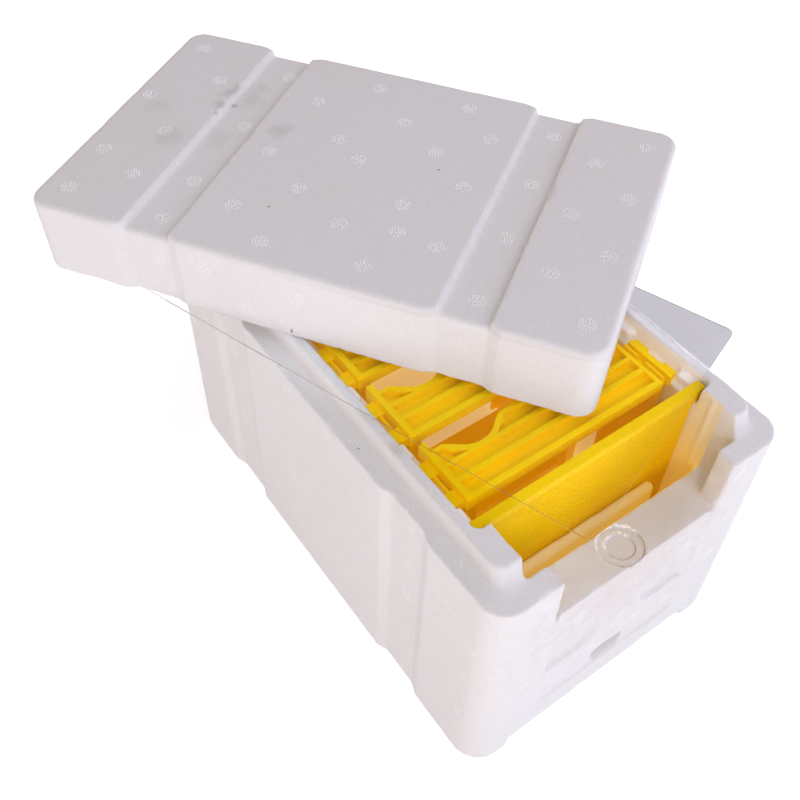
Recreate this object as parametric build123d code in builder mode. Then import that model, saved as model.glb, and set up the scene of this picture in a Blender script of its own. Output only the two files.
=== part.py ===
from build123d import *
from math import atan, degrees, sqrt
import os

# A queen mating nuc: a small moulded foam box with a raised rim, five hanging
# comb frames, a divider plate in front of them, a vent grille in the floor, a
# clear cover sheet and a foam lid. The sheet and the lid lie askew on the rim.
# Millimetres. X runs across the box, the notched front faces -Y, Z is up, and
# the origin is at the centre of the plane that the box stands on.

# Foam box, outside
box_length = 250.0
box_width = 150.0
ledge_height = 134.0
rim_height = 10.0
base_flare = 2.1
corner_radius = 11.5
bottom_edge_break = 2.0

# Ledge outside the rim, and the rim itself
side_ledge = 8.0
end_ledge = 9.6
rim_side_lean = 1.0
rim_end_lean = 3.4
rim_corner_radius = 6.0
rim_top_radius = 1.0

# Foam box, inside
wall = 20.0
floor_top = 22.0
inner_corner_radius = 4.0
shelf_width = 6.0
shelf_corner_radius = 3.0
shelf_from_front = 31.0
guide_rib_from_front = 24.0
guide_rib_width = 1.5
guide_rib_depth = 0.7
guide_rib_below_notch = 3.0

# Notch in the front wall
notch_depth = 30.0
notch_from_inner_wall = 10.0
notch_draft = 1.6
gun_mark_radius = 9.6
gun_mark_inner_radius = 6.0
gun_mark_line = 0.8
gun_mark_depth = 0.5

# Spacer pegs on the shelf
peg_length = 8.6
peg_reach = 3.7
peg_height = 4.5
peg_corner = 2.0
peg_behind_middle = 2.05

# Baffle between the feeding trough and the divider
baffle_from_front = 27.0
baffle_thickness = 5.0
baffle_below_notch = 11.0
baffle_opening = 15.0

# Front face
panel_from_inner_wall = 13.0
panel_depth = 1.2
plinth_top = 26.0
finger_height = 24.0
finger_middle = 65.0
finger_inner = 12.5
finger_depth = 5.0
finger_draft = 22.0
entrance_width = 17.2
entrance_floor = 29.0
entrance_top = 36.0
entrance_ramp = 5.0
outside_margin = 6.0
join_depth = 1.5

# Underside and floor vent
foot_width = 19.0
underside_rise = 8.0
grille_from_side_wall = 13.2
grille_length = 62.0
grille_middle = -27.0
grille_thickness = 3.0
grille_land = 4.0
grille_corner = 3.0
grille_clearance = 0.15
grille_slot_width = 2.4
grille_slot_pitch = 5.0
grille_slot_length = 19.0
grille_band = 15.0

# Strap grooves round the box and the lid
groove_from_end = 56.5
groove_floor_width = 20.5
groove_open_width = 31.0
box_groove_depth = 2.2
lid_groove_depth = 2.8
lid_groove_side_depth = 2.2
lid_groove_wall_run = 0.8
groove_shoulder_radius = 3.0
groove_foot_radius = 2.5

# Comb frames: the room that they share, then one frame. Heights count from the
# shelf, distances across the bar from its middle, and shares are of its width.
# A gap or an inset along the bar counts inwards from the shelf's end wall, and
# a place "from_wall" from the chamber's side wall
frame_count = 5
space_before_frames = 13.0
space_behind_frames = 14.1
space_between_frames = 9.1
bar_lift = 1.0
bar_plate_thickness = 2.2
ridge_height = 6.5
ridge_shares = ((-0.5, -0.4), (-0.164, -0.079), (0.138, 0.201), (0.437, 0.5))
cross_bar_from_wall = 0.5
cross_bar_width = 2.9
cross_bar_inset = 1.5
cross_bar_reach = 4.1
cross_bar_height = 7.5
lug_inset = 2.15
lug_shares = ((-0.421, -0.168), (0.164, 0.441))
left_lug_gap = 1.0
right_lug_gap = 2.8
lug_height = 4.2
lug_web_width = 1.0
lug_web_inset = 3.8
right_bar_from_wall = 7.5
right_bar_end_width = 2.0
right_rib_from_wall = 4.8
right_rib_width = 1.0
right_rib_gap_shares = (-0.044, 0.129)
right_rail_from_wall = 0.3
right_rail_width = 2.7
right_rail_chamfer = 1.8
finger_hole_from_wall = 23.0
finger_hole_behind_bar = 6.1
finger_hole_radius = 13.4
finger_hole_rim = 2.4
finger_hole_flare = 2.4
finger_hole_flare_depth = 3.0
side_bar_from_wall = 2.3
side_bar_depth = 5.7
side_bar_web = 2.2
side_bar_flange = 1.8
side_bar_inset = 2.55
frame_above_floor = 6.0
bottom_bar_height = 5.0
bottom_bar_half = 5.0
comb_guide_half = 1.0
comb_guide_depth = 8.0

# Divider plate
divider_from_baffle = 0.3
divider_thickness = 4.4
divider_clearance = 0.6
divider_lug_clearance = 1.0
divider_above_floor = 8.0
divider_height = 7.0
divider_lip = 4.5
divider_foot = 4.0
rib_pitch = 1.7
rib_groove = 0.8
rib_depth = 0.35
divider_edge_radius = 0.5

# Clear cover sheet
sheet_side_inset = 2.8
sheet_end_overhang = 2.6
sheet_thickness = 0.8
sheet_corner = 3.5
sheet_x = -8.73
sheet_y = 10.82
sheet_yaw = 18.96

# Foam lid
lid_side_clearance = 0.25
lid_end_clearance = 0.5
lid_height = 36.0
lid_corner_radius = 9.0
lid_top_radius = 2.5
lid_recess_side_clearance = 0.5
lid_recess_end_clearance = 3.6
lid_recess_head_room = 1.0
lid_recess_corner = 7.0
lid_x = -0.97
lid_y = 63.39
lid_yaw = 33.66

# Derived places
half_length = box_length / 2
half_width = box_width / 2
rim_half_width = half_width - side_ledge
rim_half_length = half_length - end_ledge
inner_half_width = half_width - wall
inner_half_length = half_length - wall
rim_top = ledge_height + rim_height
lean = base_flare / ledge_height
cheek_back = half_length - end_ledge
shelf_start = half_length - shelf_from_front
shelf_half_width = inner_half_width + shelf_width
notch_floor = ledge_height - notch_depth
notch_half_back = inner_half_width - notch_from_inner_wall
notch_half_front = notch_half_back - notch_draft
panel_half = inner_half_width - panel_from_inner_wall
foot_inner = half_width - foot_width
grille_width = 2 * (inner_half_width - grille_from_side_wall)
grille_slots_in_row = int((grille_width - 2 * grille_land) / grille_slot_pitch)
baffle_front = half_length - baffle_from_front
baffle_back = baffle_front - baffle_thickness
baffle_top = notch_floor - baffle_below_notch
baffle_end = inner_half_width - baffle_opening
groove_offset = half_length - groove_from_end
bar_width = (
    shelf_start
    + inner_half_length
    - space_before_frames
    - space_behind_frames
    - (frame_count - 1) * space_between_frames
) / frame_count
bar_half = bar_width / 2
frame_pitch = bar_width + space_between_frames
frame_first_middle = space_before_frames + bar_half - shelf_start
bar_underside = ledge_height + bar_lift
bar_plate_top = bar_underside + bar_plate_thickness
ridge_top = ledge_height + ridge_height
cross_bar_top = ledge_height + cross_bar_height
lug_top = ledge_height + lug_height
right_end_half = bar_half - lug_inset
side_bar_half = bar_half - side_bar_inset
cross_bar_outer = inner_half_width - cross_bar_from_wall
left_lug_tip = shelf_half_width - left_lug_gap
right_lug_tip = shelf_half_width - right_lug_gap
lug_web_outer = shelf_half_width - lug_web_inset
right_bar_outer = inner_half_width - right_bar_from_wall
right_bar_inner = right_bar_outer - right_bar_end_width
right_rib_outer = inner_half_width - right_rib_from_wall
right_rib_inner = right_rib_outer - right_rib_width
right_rail_outer = inner_half_width - right_rail_from_wall
right_rail_inner = right_rail_outer - right_rail_width
side_bar_outer = inner_half_width - side_bar_from_wall
side_bar_inner = side_bar_outer - side_bar_depth
finger_hole_x = finger_hole_from_wall - inner_half_width
finger_hole_y = bar_half + finger_hole_behind_bar
finger_hole_half = sqrt(finger_hole_radius**2 - finger_hole_behind_bar**2)
finger_hole_inner_half = sqrt(
    finger_hole_radius**2 - (finger_hole_behind_bar + finger_hole_flare_depth) ** 2
)
frame_bottom = floor_top + frame_above_floor
divider_front = baffle_back - divider_from_baffle
divider_back = divider_front - divider_thickness
divider_half = inner_half_width - divider_clearance
divider_lug = shelf_half_width - divider_lug_clearance
divider_bottom = floor_top + divider_above_floor
divider_top = ledge_height + divider_height
sheet_width = 2 * (rim_half_width - sheet_side_inset)
sheet_length = 2 * (rim_half_length + sheet_end_overhang)
lid_width = box_width - 2 * lid_side_clearance
lid_length = box_length - 2 * lid_end_clearance
lid_groove_slope_share = 1 - 2 * lid_groove_wall_run / (groove_open_width - groove_floor_width)
lid_recess_width = 2 * (rim_half_width + lid_recess_side_clearance)
lid_recess_length = 2 * (rim_half_length + lid_recess_end_clearance)
lid_recess_depth = rim_height + lid_recess_head_room

os.makedirs("parts", exist_ok=True)


# One strap groove's outline at one height, for a face at distance `face`
def groove_outline(face, depth, margin):
    slope = (groove_open_width - groove_floor_width) / 2 / depth
    wide = groove_open_width / 2 + margin * slope
    return (
        (face + margin, -wide),
        (face - depth, -groove_floor_width / 2),
        (face - depth, groove_floor_width / 2),
        (face + margin, wide),
    )


with BuildPart() as hive_body:
    # Outer block, a little wider at its foot
    with BuildSketch():
        RectangleRounded(
            box_width + 2 * base_flare,
            box_length + 2 * base_flare,
            corner_radius + base_flare,
        )
    extrude(amount=ledge_height, taper=degrees(atan(lean)))
    # Strap grooves down both long sides
    for groove_y in (-groove_offset, groove_offset):
        for side in (-1, 1):
            with BuildSketch(Plane((0, groove_y, 0), x_dir=(side, 0, 0), z_dir=(0, 0, side))):
                with BuildLine():
                    Polyline(
                        *groove_outline(half_width + base_flare, box_groove_depth, outside_margin),
                        close=True,
                    )
                make_face()
            with BuildSketch(
                Plane((0, groove_y, ledge_height), x_dir=(side, 0, 0), z_dir=(0, 0, side))
            ):
                with BuildLine():
                    Polyline(
                        *groove_outline(half_width, box_groove_depth, outside_margin), close=True
                    )
                make_face()
            loft(ruled=True, mode=Mode.SUBTRACT)
    for offset, radius in (
        (groove_open_width / 2, groove_shoulder_radius),
        (groove_floor_width / 2, groove_foot_radius),
    ):
        upright = [
            edge
            for edge in hive_body.edges()
            if edge.length > ledge_height / 2
            and abs(edge.center().X) > rim_half_width
            and abs(abs(abs(edge.center().Y) - groove_offset) - offset) < join_depth
        ]
        fillet(upright, radius=radius)
    chamfer(hive_body.faces().sort_by(Axis.Z)[0].edges(), length=bottom_edge_break)

    # Raised rim on the ledge
    with BuildSketch(Plane.XY.offset(ledge_height)):
        RectangleRounded(2 * rim_half_width, 2 * rim_half_length, rim_corner_radius)
    with BuildSketch(Plane.XY.offset(rim_top)):
        RectangleRounded(
            2 * (rim_half_width - rim_side_lean),
            2 * (rim_half_length - rim_end_lean),
            rim_corner_radius,
        )
    loft(ruled=True)
    fillet(hive_body.faces().sort_by(Axis.Z)[-1].edges(), radius=rim_top_radius)

    # Main cavity, and the wider shelf that carries the frames
    with BuildSketch(Plane.XY.offset(floor_top)):
        RectangleRounded(2 * inner_half_width, 2 * inner_half_length, inner_corner_radius)
    extrude(amount=rim_top, mode=Mode.SUBTRACT)
    with BuildSketch(Plane.XY.offset(ledge_height)):
        with Locations((0, (inner_half_length - shelf_start) / 2)):
            RectangleRounded(
                2 * shelf_half_width,
                inner_half_length + shelf_start,
                shelf_corner_radius,
            )
    extrude(amount=rim_top, mode=Mode.SUBTRACT)

    # Space behind the cheeks, and the notch between them
    with BuildSketch(Plane.XY.offset(notch_floor)):
        with Locations((0, -cheek_back)):
            Rectangle(
                2 * inner_half_width,
                wall + end_ledge,
                align=(Align.CENTER, Align.MIN),
            )
        with BuildLine():
            Polyline(
                (-notch_half_front, -half_length - outside_margin),
                (-notch_half_back, -cheek_back),
                (notch_half_back, -cheek_back),
                (notch_half_front, -half_length - outside_margin),
                close=True,
            )
        make_face()
    extrude(amount=rim_top, mode=Mode.SUBTRACT)
    with BuildSketch(Plane.XY.offset(notch_floor)):
        with Locations((0, -(inner_half_length + half_length) / 2)):
            for outer in (gun_mark_radius, gun_mark_inner_radius):
                Circle(outer)
                Circle(outer - gun_mark_line, mode=Mode.SUBTRACT)
            Circle(gun_mark_radius - gun_mark_line, mode=Mode.SUBTRACT)
            Circle(gun_mark_inner_radius)
            Circle(gun_mark_inner_radius - gun_mark_line, mode=Mode.SUBTRACT)
    extrude(amount=-gun_mark_depth, mode=Mode.SUBTRACT)

    # Spacer pegs on the shelf, one before and one behind each frame
    with BuildSketch(Plane.XY.offset(ledge_height)):
        for side in (-1, 1):
            for peg in range(frame_count + 1):
                with Locations(
                    (
                        side * shelf_half_width,
                        frame_first_middle + (peg - 1 / 2) * frame_pitch + peg_behind_middle,
                    )
                ):
                    RectangleRounded(2 * peg_reach, peg_length, peg_corner)
    extrude(amount=peg_height)

    # Baffle with a rounded top, open at its right-hand end
    with BuildSketch(Plane.YZ.offset(-shelf_half_width)):
        with BuildLine():
            Polyline(
                (-baffle_back, baffle_top - (baffle_front - baffle_back) / 2),
                (-baffle_back, floor_top - join_depth),
                (-baffle_front, floor_top - join_depth),
                (-baffle_front, baffle_top - (baffle_front - baffle_back) / 2),
            )
            ThreePointArc(
                (-baffle_front, baffle_top - (baffle_front - baffle_back) / 2),
                (-(baffle_front + baffle_back) / 2, baffle_top),
                (-baffle_back, baffle_top - (baffle_front - baffle_back) / 2),
            )
        make_face()
    extrude(amount=shelf_half_width + baffle_end)

    # A fine upright rib on each side wall of the feeding space
    with BuildSketch(Plane.XY.offset(notch_floor - guide_rib_below_notch)):
        for side in (-1, 1):
            with Locations((side * inner_half_width, -half_length + guide_rib_from_front)):
                Rectangle(2 * guide_rib_depth, guide_rib_width)
    extrude(amount=rim_top - rim_top_radius - notch_floor + guide_rib_below_notch)

    # Front panel, set back between the corner pillars
    with BuildSketch(Plane.YZ.offset(-panel_half)):
        with BuildLine():
            Polyline(
                (-half_length - (ledge_height - plinth_top) * lean + panel_depth, plinth_top),
                (-half_length - (ledge_height - notch_floor) * lean + panel_depth, notch_floor),
                (-half_length + panel_depth, ledge_height),
                (-half_length - outside_margin, ledge_height),
                (-half_length - outside_margin, plinth_top - panel_depth),
                (-half_length - (ledge_height - plinth_top) * lean, plinth_top - panel_depth),
                close=True,
            )
        make_face()
    extrude(amount=2 * panel_half, mode=Mode.SUBTRACT)

    # Finger recesses, round at their inner ends, running out to the pillars
    with BuildSketch(
        Plane.XZ.offset(half_length + (ledge_height - finger_middle) * lean - panel_depth / 2)
    ):
        for side in (-1, 1):
            with Locations((side * (finger_inner + finger_height / 2), finger_middle)):
                Circle(finger_height / 2)
            with Locations((side * (finger_inner + finger_height / 2 + panel_half) / 2, finger_middle)):
                Rectangle(panel_half - finger_inner - finger_height / 2, finger_height)
    extrude(amount=-finger_depth, taper=finger_draft, mode=Mode.SUBTRACT)

    # Entrance tunnel with a ramp at its mouth
    with BuildSketch(Plane.YZ.offset(-entrance_width / 2)):
        with BuildLine():
            Polyline(
                (-half_length - outside_margin, plinth_top),
                (-half_length - base_flare + panel_depth, plinth_top),
                (-half_length + entrance_ramp, entrance_floor),
                (-inner_half_length + join_depth, entrance_floor),
                (-inner_half_length + join_depth, entrance_top),
                (-half_length - outside_margin, entrance_top),
                close=True,
            )
        make_face()
    extrude(amount=entrance_width, mode=Mode.SUBTRACT)

    # Raised underside between the two long feet
    with BuildSketch():
        Rectangle(2 * foot_inner, box_length + 4 * base_flare)
    extrude(amount=underside_rise, mode=Mode.SUBTRACT)

    # Floor vent: an opening with a land all round for the grille
    with BuildSketch(Plane.XY.offset(floor_top - grille_thickness)):
        with Locations((0, grille_middle)):
            RectangleRounded(
                grille_width + 2 * grille_clearance,
                grille_length + 2 * grille_clearance,
                grille_corner,
            )
    extrude(amount=grille_thickness, mode=Mode.SUBTRACT)
    with BuildSketch(Plane.XY):
        with Locations((0, grille_middle)):
            RectangleRounded(
                grille_width - 2 * grille_land, grille_length - 2 * grille_land, grille_corner
            )
    extrude(amount=floor_top, mode=Mode.SUBTRACT)

hive_body.part.label = "hive_body"
export_step(hive_body.part, "parts/hive_body.step")


with BuildPart() as vent_grille:
    with BuildSketch(Plane.XY.offset(floor_top - grille_thickness)):
        with Locations((0, grille_middle)):
            RectangleRounded(grille_width, grille_length, grille_corner)
            with GridLocations(
                grille_slot_pitch,
                grille_slot_length + grille_band,
                grille_slots_in_row,
                2,
            ):
                Rectangle(grille_slot_width, grille_slot_length, mode=Mode.SUBTRACT)
    extrude(amount=grille_thickness)

vent_grille.part.label = "vent_grille"
export_step(vent_grille.part, "parts/vent_grille.step")


# The comb frame, made where the first one hangs
with BuildPart() as comb_frame:
    bar_plane = Plane((0, frame_first_middle, bar_underside))
    # Top bar: a thin plate with upright ridges along it
    with BuildSketch(bar_plane):
        with Locations(((right_bar_outer - cross_bar_outer) / 2, 0)):
            Rectangle(right_bar_outer + cross_bar_outer, bar_width)
    extrude(amount=bar_plate_top - bar_underside)
    with BuildSketch(bar_plane):
        for front, back in ridge_shares:
            with Locations(
                ((right_bar_inner - cross_bar_outer) / 2, (front + back) / 2 * bar_width)
            ):
                Rectangle(right_bar_inner + cross_bar_outer, (back - front) * bar_width)
    extrude(amount=ridge_top - bar_underside)
    # Half-round hole in the back edge, flared at its ends, with a raised rim
    with BuildSketch(bar_plane):
        with Locations((finger_hole_x, finger_hole_y)):
            Circle(finger_hole_radius + finger_hole_rim)
        for side in (-1, 1):
            with BuildLine():
                Polyline(
                    (finger_hole_x, bar_half),
                    (
                        finger_hole_x
                        + side * (finger_hole_half + finger_hole_flare + finger_hole_rim),
                        bar_half,
                    ),
                    (
                        finger_hole_x + side * (finger_hole_inner_half + finger_hole_rim),
                        bar_half - finger_hole_flare_depth - finger_hole_rim,
                    ),
                    (finger_hole_x, bar_half - finger_hole_flare_depth - finger_hole_rim),
                    close=True,
                )
            make_face()
        with Locations((finger_hole_x, bar_half)):
            Rectangle(
                2 * (finger_hole_radius + finger_hole_rim),
                finger_hole_y + finger_hole_radius,
                align=(Align.CENTER, Align.MIN),
                mode=Mode.SUBTRACT,
            )
    extrude(amount=ridge_top - bar_underside)
    with BuildSketch(bar_plane):
        with Locations((finger_hole_x, finger_hole_y)):
            Circle(finger_hole_radius)
        for side in (-1, 1):
            with BuildLine():
                Polyline(
                    (finger_hole_x, bar_half),
                    (finger_hole_x + side * (finger_hole_half + finger_hole_flare), bar_half),
                    (
                        finger_hole_x + side * finger_hole_inner_half,
                        bar_half - finger_hole_flare_depth,
                    ),
                    (finger_hole_x, bar_half - finger_hole_flare_depth),
                    close=True,
                )
            make_face()
    extrude(amount=ridge_top - bar_underside, mode=Mode.SUBTRACT)

    # Left end: a cross bar that stands behind the top bar, a web and two lugs
    with BuildSketch(Plane((0, frame_first_middle, ledge_height))):
        with Locations(
            (-cross_bar_outer + cross_bar_width / 2, (cross_bar_reach + cross_bar_inset) / 2)
        ):
            Rectangle(cross_bar_width, bar_width + cross_bar_reach - cross_bar_inset)
    extrude(amount=cross_bar_top - ledge_height)
    with BuildSketch(Plane((0, frame_first_middle, ledge_height))):
        for front, back in lug_shares:
            with Locations(
                (
                    -(left_lug_tip + cross_bar_outer - cross_bar_width) / 2,
                    (front + back) / 2 * bar_width,
                )
            ):
                Rectangle(
                    left_lug_tip - cross_bar_outer + cross_bar_width, (back - front) * bar_width
                )
        with Locations((-lug_web_outer + lug_web_width / 2, 0)):
            Rectangle(lug_web_width, 2 * right_end_half)
        with Locations((-(lug_web_outer + cross_bar_outer) / 2, right_end_half)):
            Rectangle(lug_web_outer - cross_bar_outer, lug_web_width, align=(Align.CENTER, Align.MAX))
        with Locations((-(lug_web_outer + cross_bar_outer) / 2, -right_end_half)):
            Rectangle(lug_web_outer - cross_bar_outer, lug_web_width, align=(Align.CENTER, Align.MIN))
    extrude(amount=lug_top - ledge_height)

    # Right end: a cross bar, a broken rib, an outer rail and two lugs
    with BuildSketch(Plane((0, frame_first_middle, ledge_height))):
        with Locations(((right_bar_inner + right_rail_outer) / 2, 0)):
            Rectangle(right_rail_outer - right_bar_inner, 2 * right_end_half)
    extrude(amount=bar_plate_top - ledge_height)
    with BuildSketch(bar_plane):
        with Locations(((right_bar_inner + right_bar_outer) / 2, 0)):
            Rectangle(right_bar_outer - right_bar_inner, bar_width)
        with BuildLine():
            Polyline(
                (right_rail_inner, right_end_half),
                (right_rail_inner, -bar_half),
                (right_rail_outer - right_rail_chamfer, -bar_half),
                (right_rail_outer, -right_end_half),
                (right_rail_outer, right_end_half),
                close=True,
            )
        make_face()
        for front, back in (
            (-right_end_half, right_rib_gap_shares[0] * bar_width),
            (right_rib_gap_shares[1] * bar_width, right_end_half),
        ):
            with Locations(((right_rib_inner + right_rib_outer) / 2, (front + back) / 2)):
                Rectangle(right_rib_outer - right_rib_inner, back - front)
    extrude(amount=ridge_top - bar_underside)
    with BuildSketch(Plane((0, frame_first_middle, ledge_height))):
        for front, back in lug_shares:
            with Locations(
                ((right_lug_tip + right_rail_inner) / 2, (front + back) / 2 * bar_width)
            ):
                Rectangle(right_lug_tip - right_rail_inner, (back - front) * bar_width)
    extrude(amount=lug_top - ledge_height)

    # Side bars of channel section, the bottom bar and the comb guide
    with BuildSketch(Plane((0, frame_first_middle, frame_bottom))):
        for side in (-1, 1):
            with Locations((side * (side_bar_outer - side_bar_web / 2), 0)):
                Rectangle(side_bar_web, 2 * side_bar_half)
            for edge in (-1, 1):
                with Locations(
                    (
                        side * (side_bar_inner + side_bar_outer) / 2,
                        edge * (side_bar_half - side_bar_flange / 2),
                    )
                ):
                    Rectangle(side_bar_outer - side_bar_inner, side_bar_flange)
    extrude(amount=bar_plate_top - frame_bottom)
    with BuildSketch(Plane((0, frame_first_middle, frame_bottom))):
        Rectangle(2 * side_bar_outer, 2 * bottom_bar_half)
    extrude(amount=bottom_bar_height)
    with BuildSketch(Plane((0, frame_first_middle, bar_underside - comb_guide_depth))):
        Rectangle(2 * side_bar_outer, 2 * comb_guide_half)
    extrude(amount=comb_guide_depth)

for number in range(frame_count):
    with BuildPart() as frame:
        add(comb_frame.part.moved(Location((0, number * frame_pitch, 0))))
    frame.part.label = f"frame_{number + 1}"
    export_step(frame.part, f"parts/frame_{number + 1}.step")


with BuildPart() as divider:
    with BuildSketch(Plane.XZ.offset(divider_back)):
        with Locations((0, (divider_top + divider_bottom) / 2)):
            Rectangle(2 * divider_half, divider_top - divider_bottom)
        with Locations((0, (divider_top + ledge_height) / 2)):
            Rectangle(2 * divider_lug, divider_top - ledge_height)
    extrude(amount=divider_thickness)
    # Fine level ribs on the front face, below the smooth top edge
    rib_count = int(
        (divider_top - divider_lip - divider_bottom - divider_foot) / rib_pitch
    )
    with BuildSketch(Plane.XZ.offset(divider_back + divider_thickness)):
        for row in range(rib_count):
            with Locations((0, divider_top - divider_lip - row * rib_pitch)):
                Rectangle(2 * (divider_half - divider_edge_radius), rib_groove)
    extrude(amount=-rib_depth, mode=Mode.SUBTRACT)

divider.part.label = "divider"
export_step(divider.part, "parts/divider.step")


with BuildPart() as cover_sheet:
    with BuildSketch(Plane.XY.offset(rim_top)):
        with Locations(Location((sheet_x, sheet_y, 0), (0, 0, sheet_yaw))):
            RectangleRounded(sheet_width, sheet_length, sheet_corner)
    extrude(amount=sheet_thickness)

cover_sheet.part.label = "cover_sheet"
export_step(cover_sheet.part, "parts/cover_sheet.step")


# The lid's section, full size or at the floor of a groove
def lid_section(side_depth, top_depth):
    with BuildLine() as outline:
        Polyline(
            (-lid_width / 2 + side_depth, lid_height - top_depth - lid_top_radius),
            (-lid_width / 2 + side_depth, 0),
            (lid_width / 2 - side_depth, 0),
            (lid_width / 2 - side_depth, lid_height - top_depth - lid_top_radius),
        )
        RadiusArc(
            (lid_width / 2 - side_depth, lid_height - top_depth - lid_top_radius),
            (lid_width / 2 - side_depth - lid_top_radius, lid_height - top_depth),
            -lid_top_radius,
        )
        Line(
            (lid_width / 2 - side_depth - lid_top_radius, lid_height - top_depth),
            (-lid_width / 2 + side_depth + lid_top_radius, lid_height - top_depth),
        )
        RadiusArc(
            (-lid_width / 2 + side_depth + lid_top_radius, lid_height - top_depth),
            (-lid_width / 2 + side_depth, lid_height - top_depth - lid_top_radius),
            -lid_top_radius,
        )
    return outline.line


# The lid about its own middle, before it is laid on the box
with BuildPart() as lid_square:
    with BuildSketch():
        RectangleRounded(lid_width, lid_length, lid_corner_radius)
    extrude(amount=lid_height)
    fillet(lid_square.faces().sort_by(Axis.Z)[-1].edges(), radius=lid_top_radius)
    for groove_y in (-groove_offset, groove_offset):
        with BuildSketch(Plane.XY):
            with Locations((0, groove_y)):
                Rectangle(lid_width + 2 * outside_margin, groove_open_width)
        extrude(amount=lid_height + outside_margin, mode=Mode.SUBTRACT)
        # A slope that only the sides have, then a steep wall down from the top
        stations = (
            (groove_open_width / 2, 0, 0),
            (
                groove_floor_width / 2 + lid_groove_wall_run,
                lid_groove_side_depth * lid_groove_slope_share,
                0,
            ),
            (groove_floor_width / 2, lid_groove_side_depth, lid_groove_depth),
        )
        for side in (-1, 1):
            for station, following in zip(stations, stations[1:]):
                for distance, side_depth, top_depth in (station, following):
                    with BuildSketch(Plane.XZ.offset(-(groove_y + side * distance))):
                        add(lid_section(side_depth, top_depth))
                        make_face()
                loft(ruled=True)
        with BuildSketch(Plane.XZ.offset(-(groove_y - groove_floor_width / 2))):
            add(lid_section(lid_groove_side_depth, lid_groove_depth))
            make_face()
        extrude(amount=-groove_floor_width)
    # Hollow underside that goes over the rim of the box
    with BuildSketch():
        RectangleRounded(lid_recess_width, lid_recess_length, lid_recess_corner)
    extrude(amount=lid_recess_depth, mode=Mode.SUBTRACT)

with BuildPart() as lid:
    add(
        lid_square.part.moved(
            Location((lid_x, lid_y, rim_top + sheet_thickness), (0, 0, lid_yaw))
        )
    )

lid.part.label = "lid"
export_step(lid.part, "parts/lid.step")
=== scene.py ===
import math
import random

import bmesh
import bpy
import numpy as np
from mathutils import Matrix, Vector, noise


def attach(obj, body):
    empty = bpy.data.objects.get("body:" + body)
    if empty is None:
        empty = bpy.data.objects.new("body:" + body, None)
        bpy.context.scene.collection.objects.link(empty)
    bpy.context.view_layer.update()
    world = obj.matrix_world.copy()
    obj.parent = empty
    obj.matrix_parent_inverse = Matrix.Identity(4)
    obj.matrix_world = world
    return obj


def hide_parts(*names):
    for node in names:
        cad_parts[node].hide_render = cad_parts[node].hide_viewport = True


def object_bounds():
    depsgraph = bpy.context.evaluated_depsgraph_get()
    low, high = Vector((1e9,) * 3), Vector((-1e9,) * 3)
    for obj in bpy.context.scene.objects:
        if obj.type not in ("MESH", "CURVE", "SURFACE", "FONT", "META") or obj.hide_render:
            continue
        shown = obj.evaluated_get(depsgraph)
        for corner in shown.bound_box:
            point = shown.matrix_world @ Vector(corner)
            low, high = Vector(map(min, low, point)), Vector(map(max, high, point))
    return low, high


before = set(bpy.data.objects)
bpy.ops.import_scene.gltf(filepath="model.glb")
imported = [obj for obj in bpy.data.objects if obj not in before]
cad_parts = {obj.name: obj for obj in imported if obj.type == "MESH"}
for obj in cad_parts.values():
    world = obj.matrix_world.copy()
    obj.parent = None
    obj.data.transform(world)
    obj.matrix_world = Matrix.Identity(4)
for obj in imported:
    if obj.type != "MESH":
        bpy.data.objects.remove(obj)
cad_lo, cad_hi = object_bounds()
scene = bpy.context.scene
mm = 0.001

# Sizes and places of the solids, in millimetres
HALF_WIDTH = 75
HALF_LENGTH = 125
INNER_HALF_WIDTH = 55
INNER_HALF_LENGTH = 105
FLOOR_TOP = 22
BAFFLE_TOP = 93
NOTCH_FLOOR = 104
LEDGE_TOP = 134
RIM_TOP = 144
BASE_FLARE = 2.1
PANEL_HALF_WIDTH = 42
PANEL_DEPTH = 1.2
IN_DIVIDER = -89
LID_HALF_WIDTH = 149.5 / 2
LID_FOOT = 144.8
LID_TOP = 180.8
LID_GROOVE_FLOOR = 178.0
GROOVE_MIDDLE = 68.5
GROOVE_FLOOR_HALF = 20.5 / 2
GROOVE_SIDE_DEPTH = 2.2
GUN_MARK_RADII = (9.6, 6.0)

# Places and directions, in metres of the shared frame
GUN_MARK = (0, -115 * mm, NOTCH_FLOOR * mm)
LID_YAW = math.radians(33.66)
LID_MIDDLE = Vector((-0.97, 63.39, 0)) * mm
LID_ACROSS = Vector((math.cos(LID_YAW), math.sin(LID_YAW), 0))
LID_ALONG = Vector((-math.sin(LID_YAW), math.cos(LID_YAW), 0))
UP = Vector((0, 0, 1))
RIGHT = Vector((1, 0, 0))
FRONT = Vector((0, -1, 0))


# Camera at the photograph's viewing angle
azimuth, elevation, roll = math.radians(-36.54), math.radians(49.98), math.radians(1.19)
level_right = Vector((math.cos(azimuth), math.sin(azimuth), 0))
back = Vector(
    (
        math.sin(azimuth) * math.cos(elevation),
        -math.cos(azimuth) * math.cos(elevation),
        math.sin(elevation),
    )
)
level_up = back.cross(level_right)
camera_right = math.cos(roll) * level_right + math.sin(roll) * level_up
camera_up = -math.sin(roll) * level_right + math.cos(roll) * level_up
camera = bpy.data.objects.new("camera", bpy.data.cameras.new("camera"))
camera.matrix_world = Matrix.Translation(Vector((-192.917, -224.030, 433.404)) * mm) @ (
    Matrix((camera_right, camera_up, back)).transposed().to_4x4()
)
camera.data.sensor_width = 36
camera.data.lens = 42.749
camera.data.clip_start = 0.01
camera.data.clip_end = 20
scene.collection.objects.link(camera)
scene.camera = camera


def box_point(x, y, z):
    return Vector((x, y, z)) * mm


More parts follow.
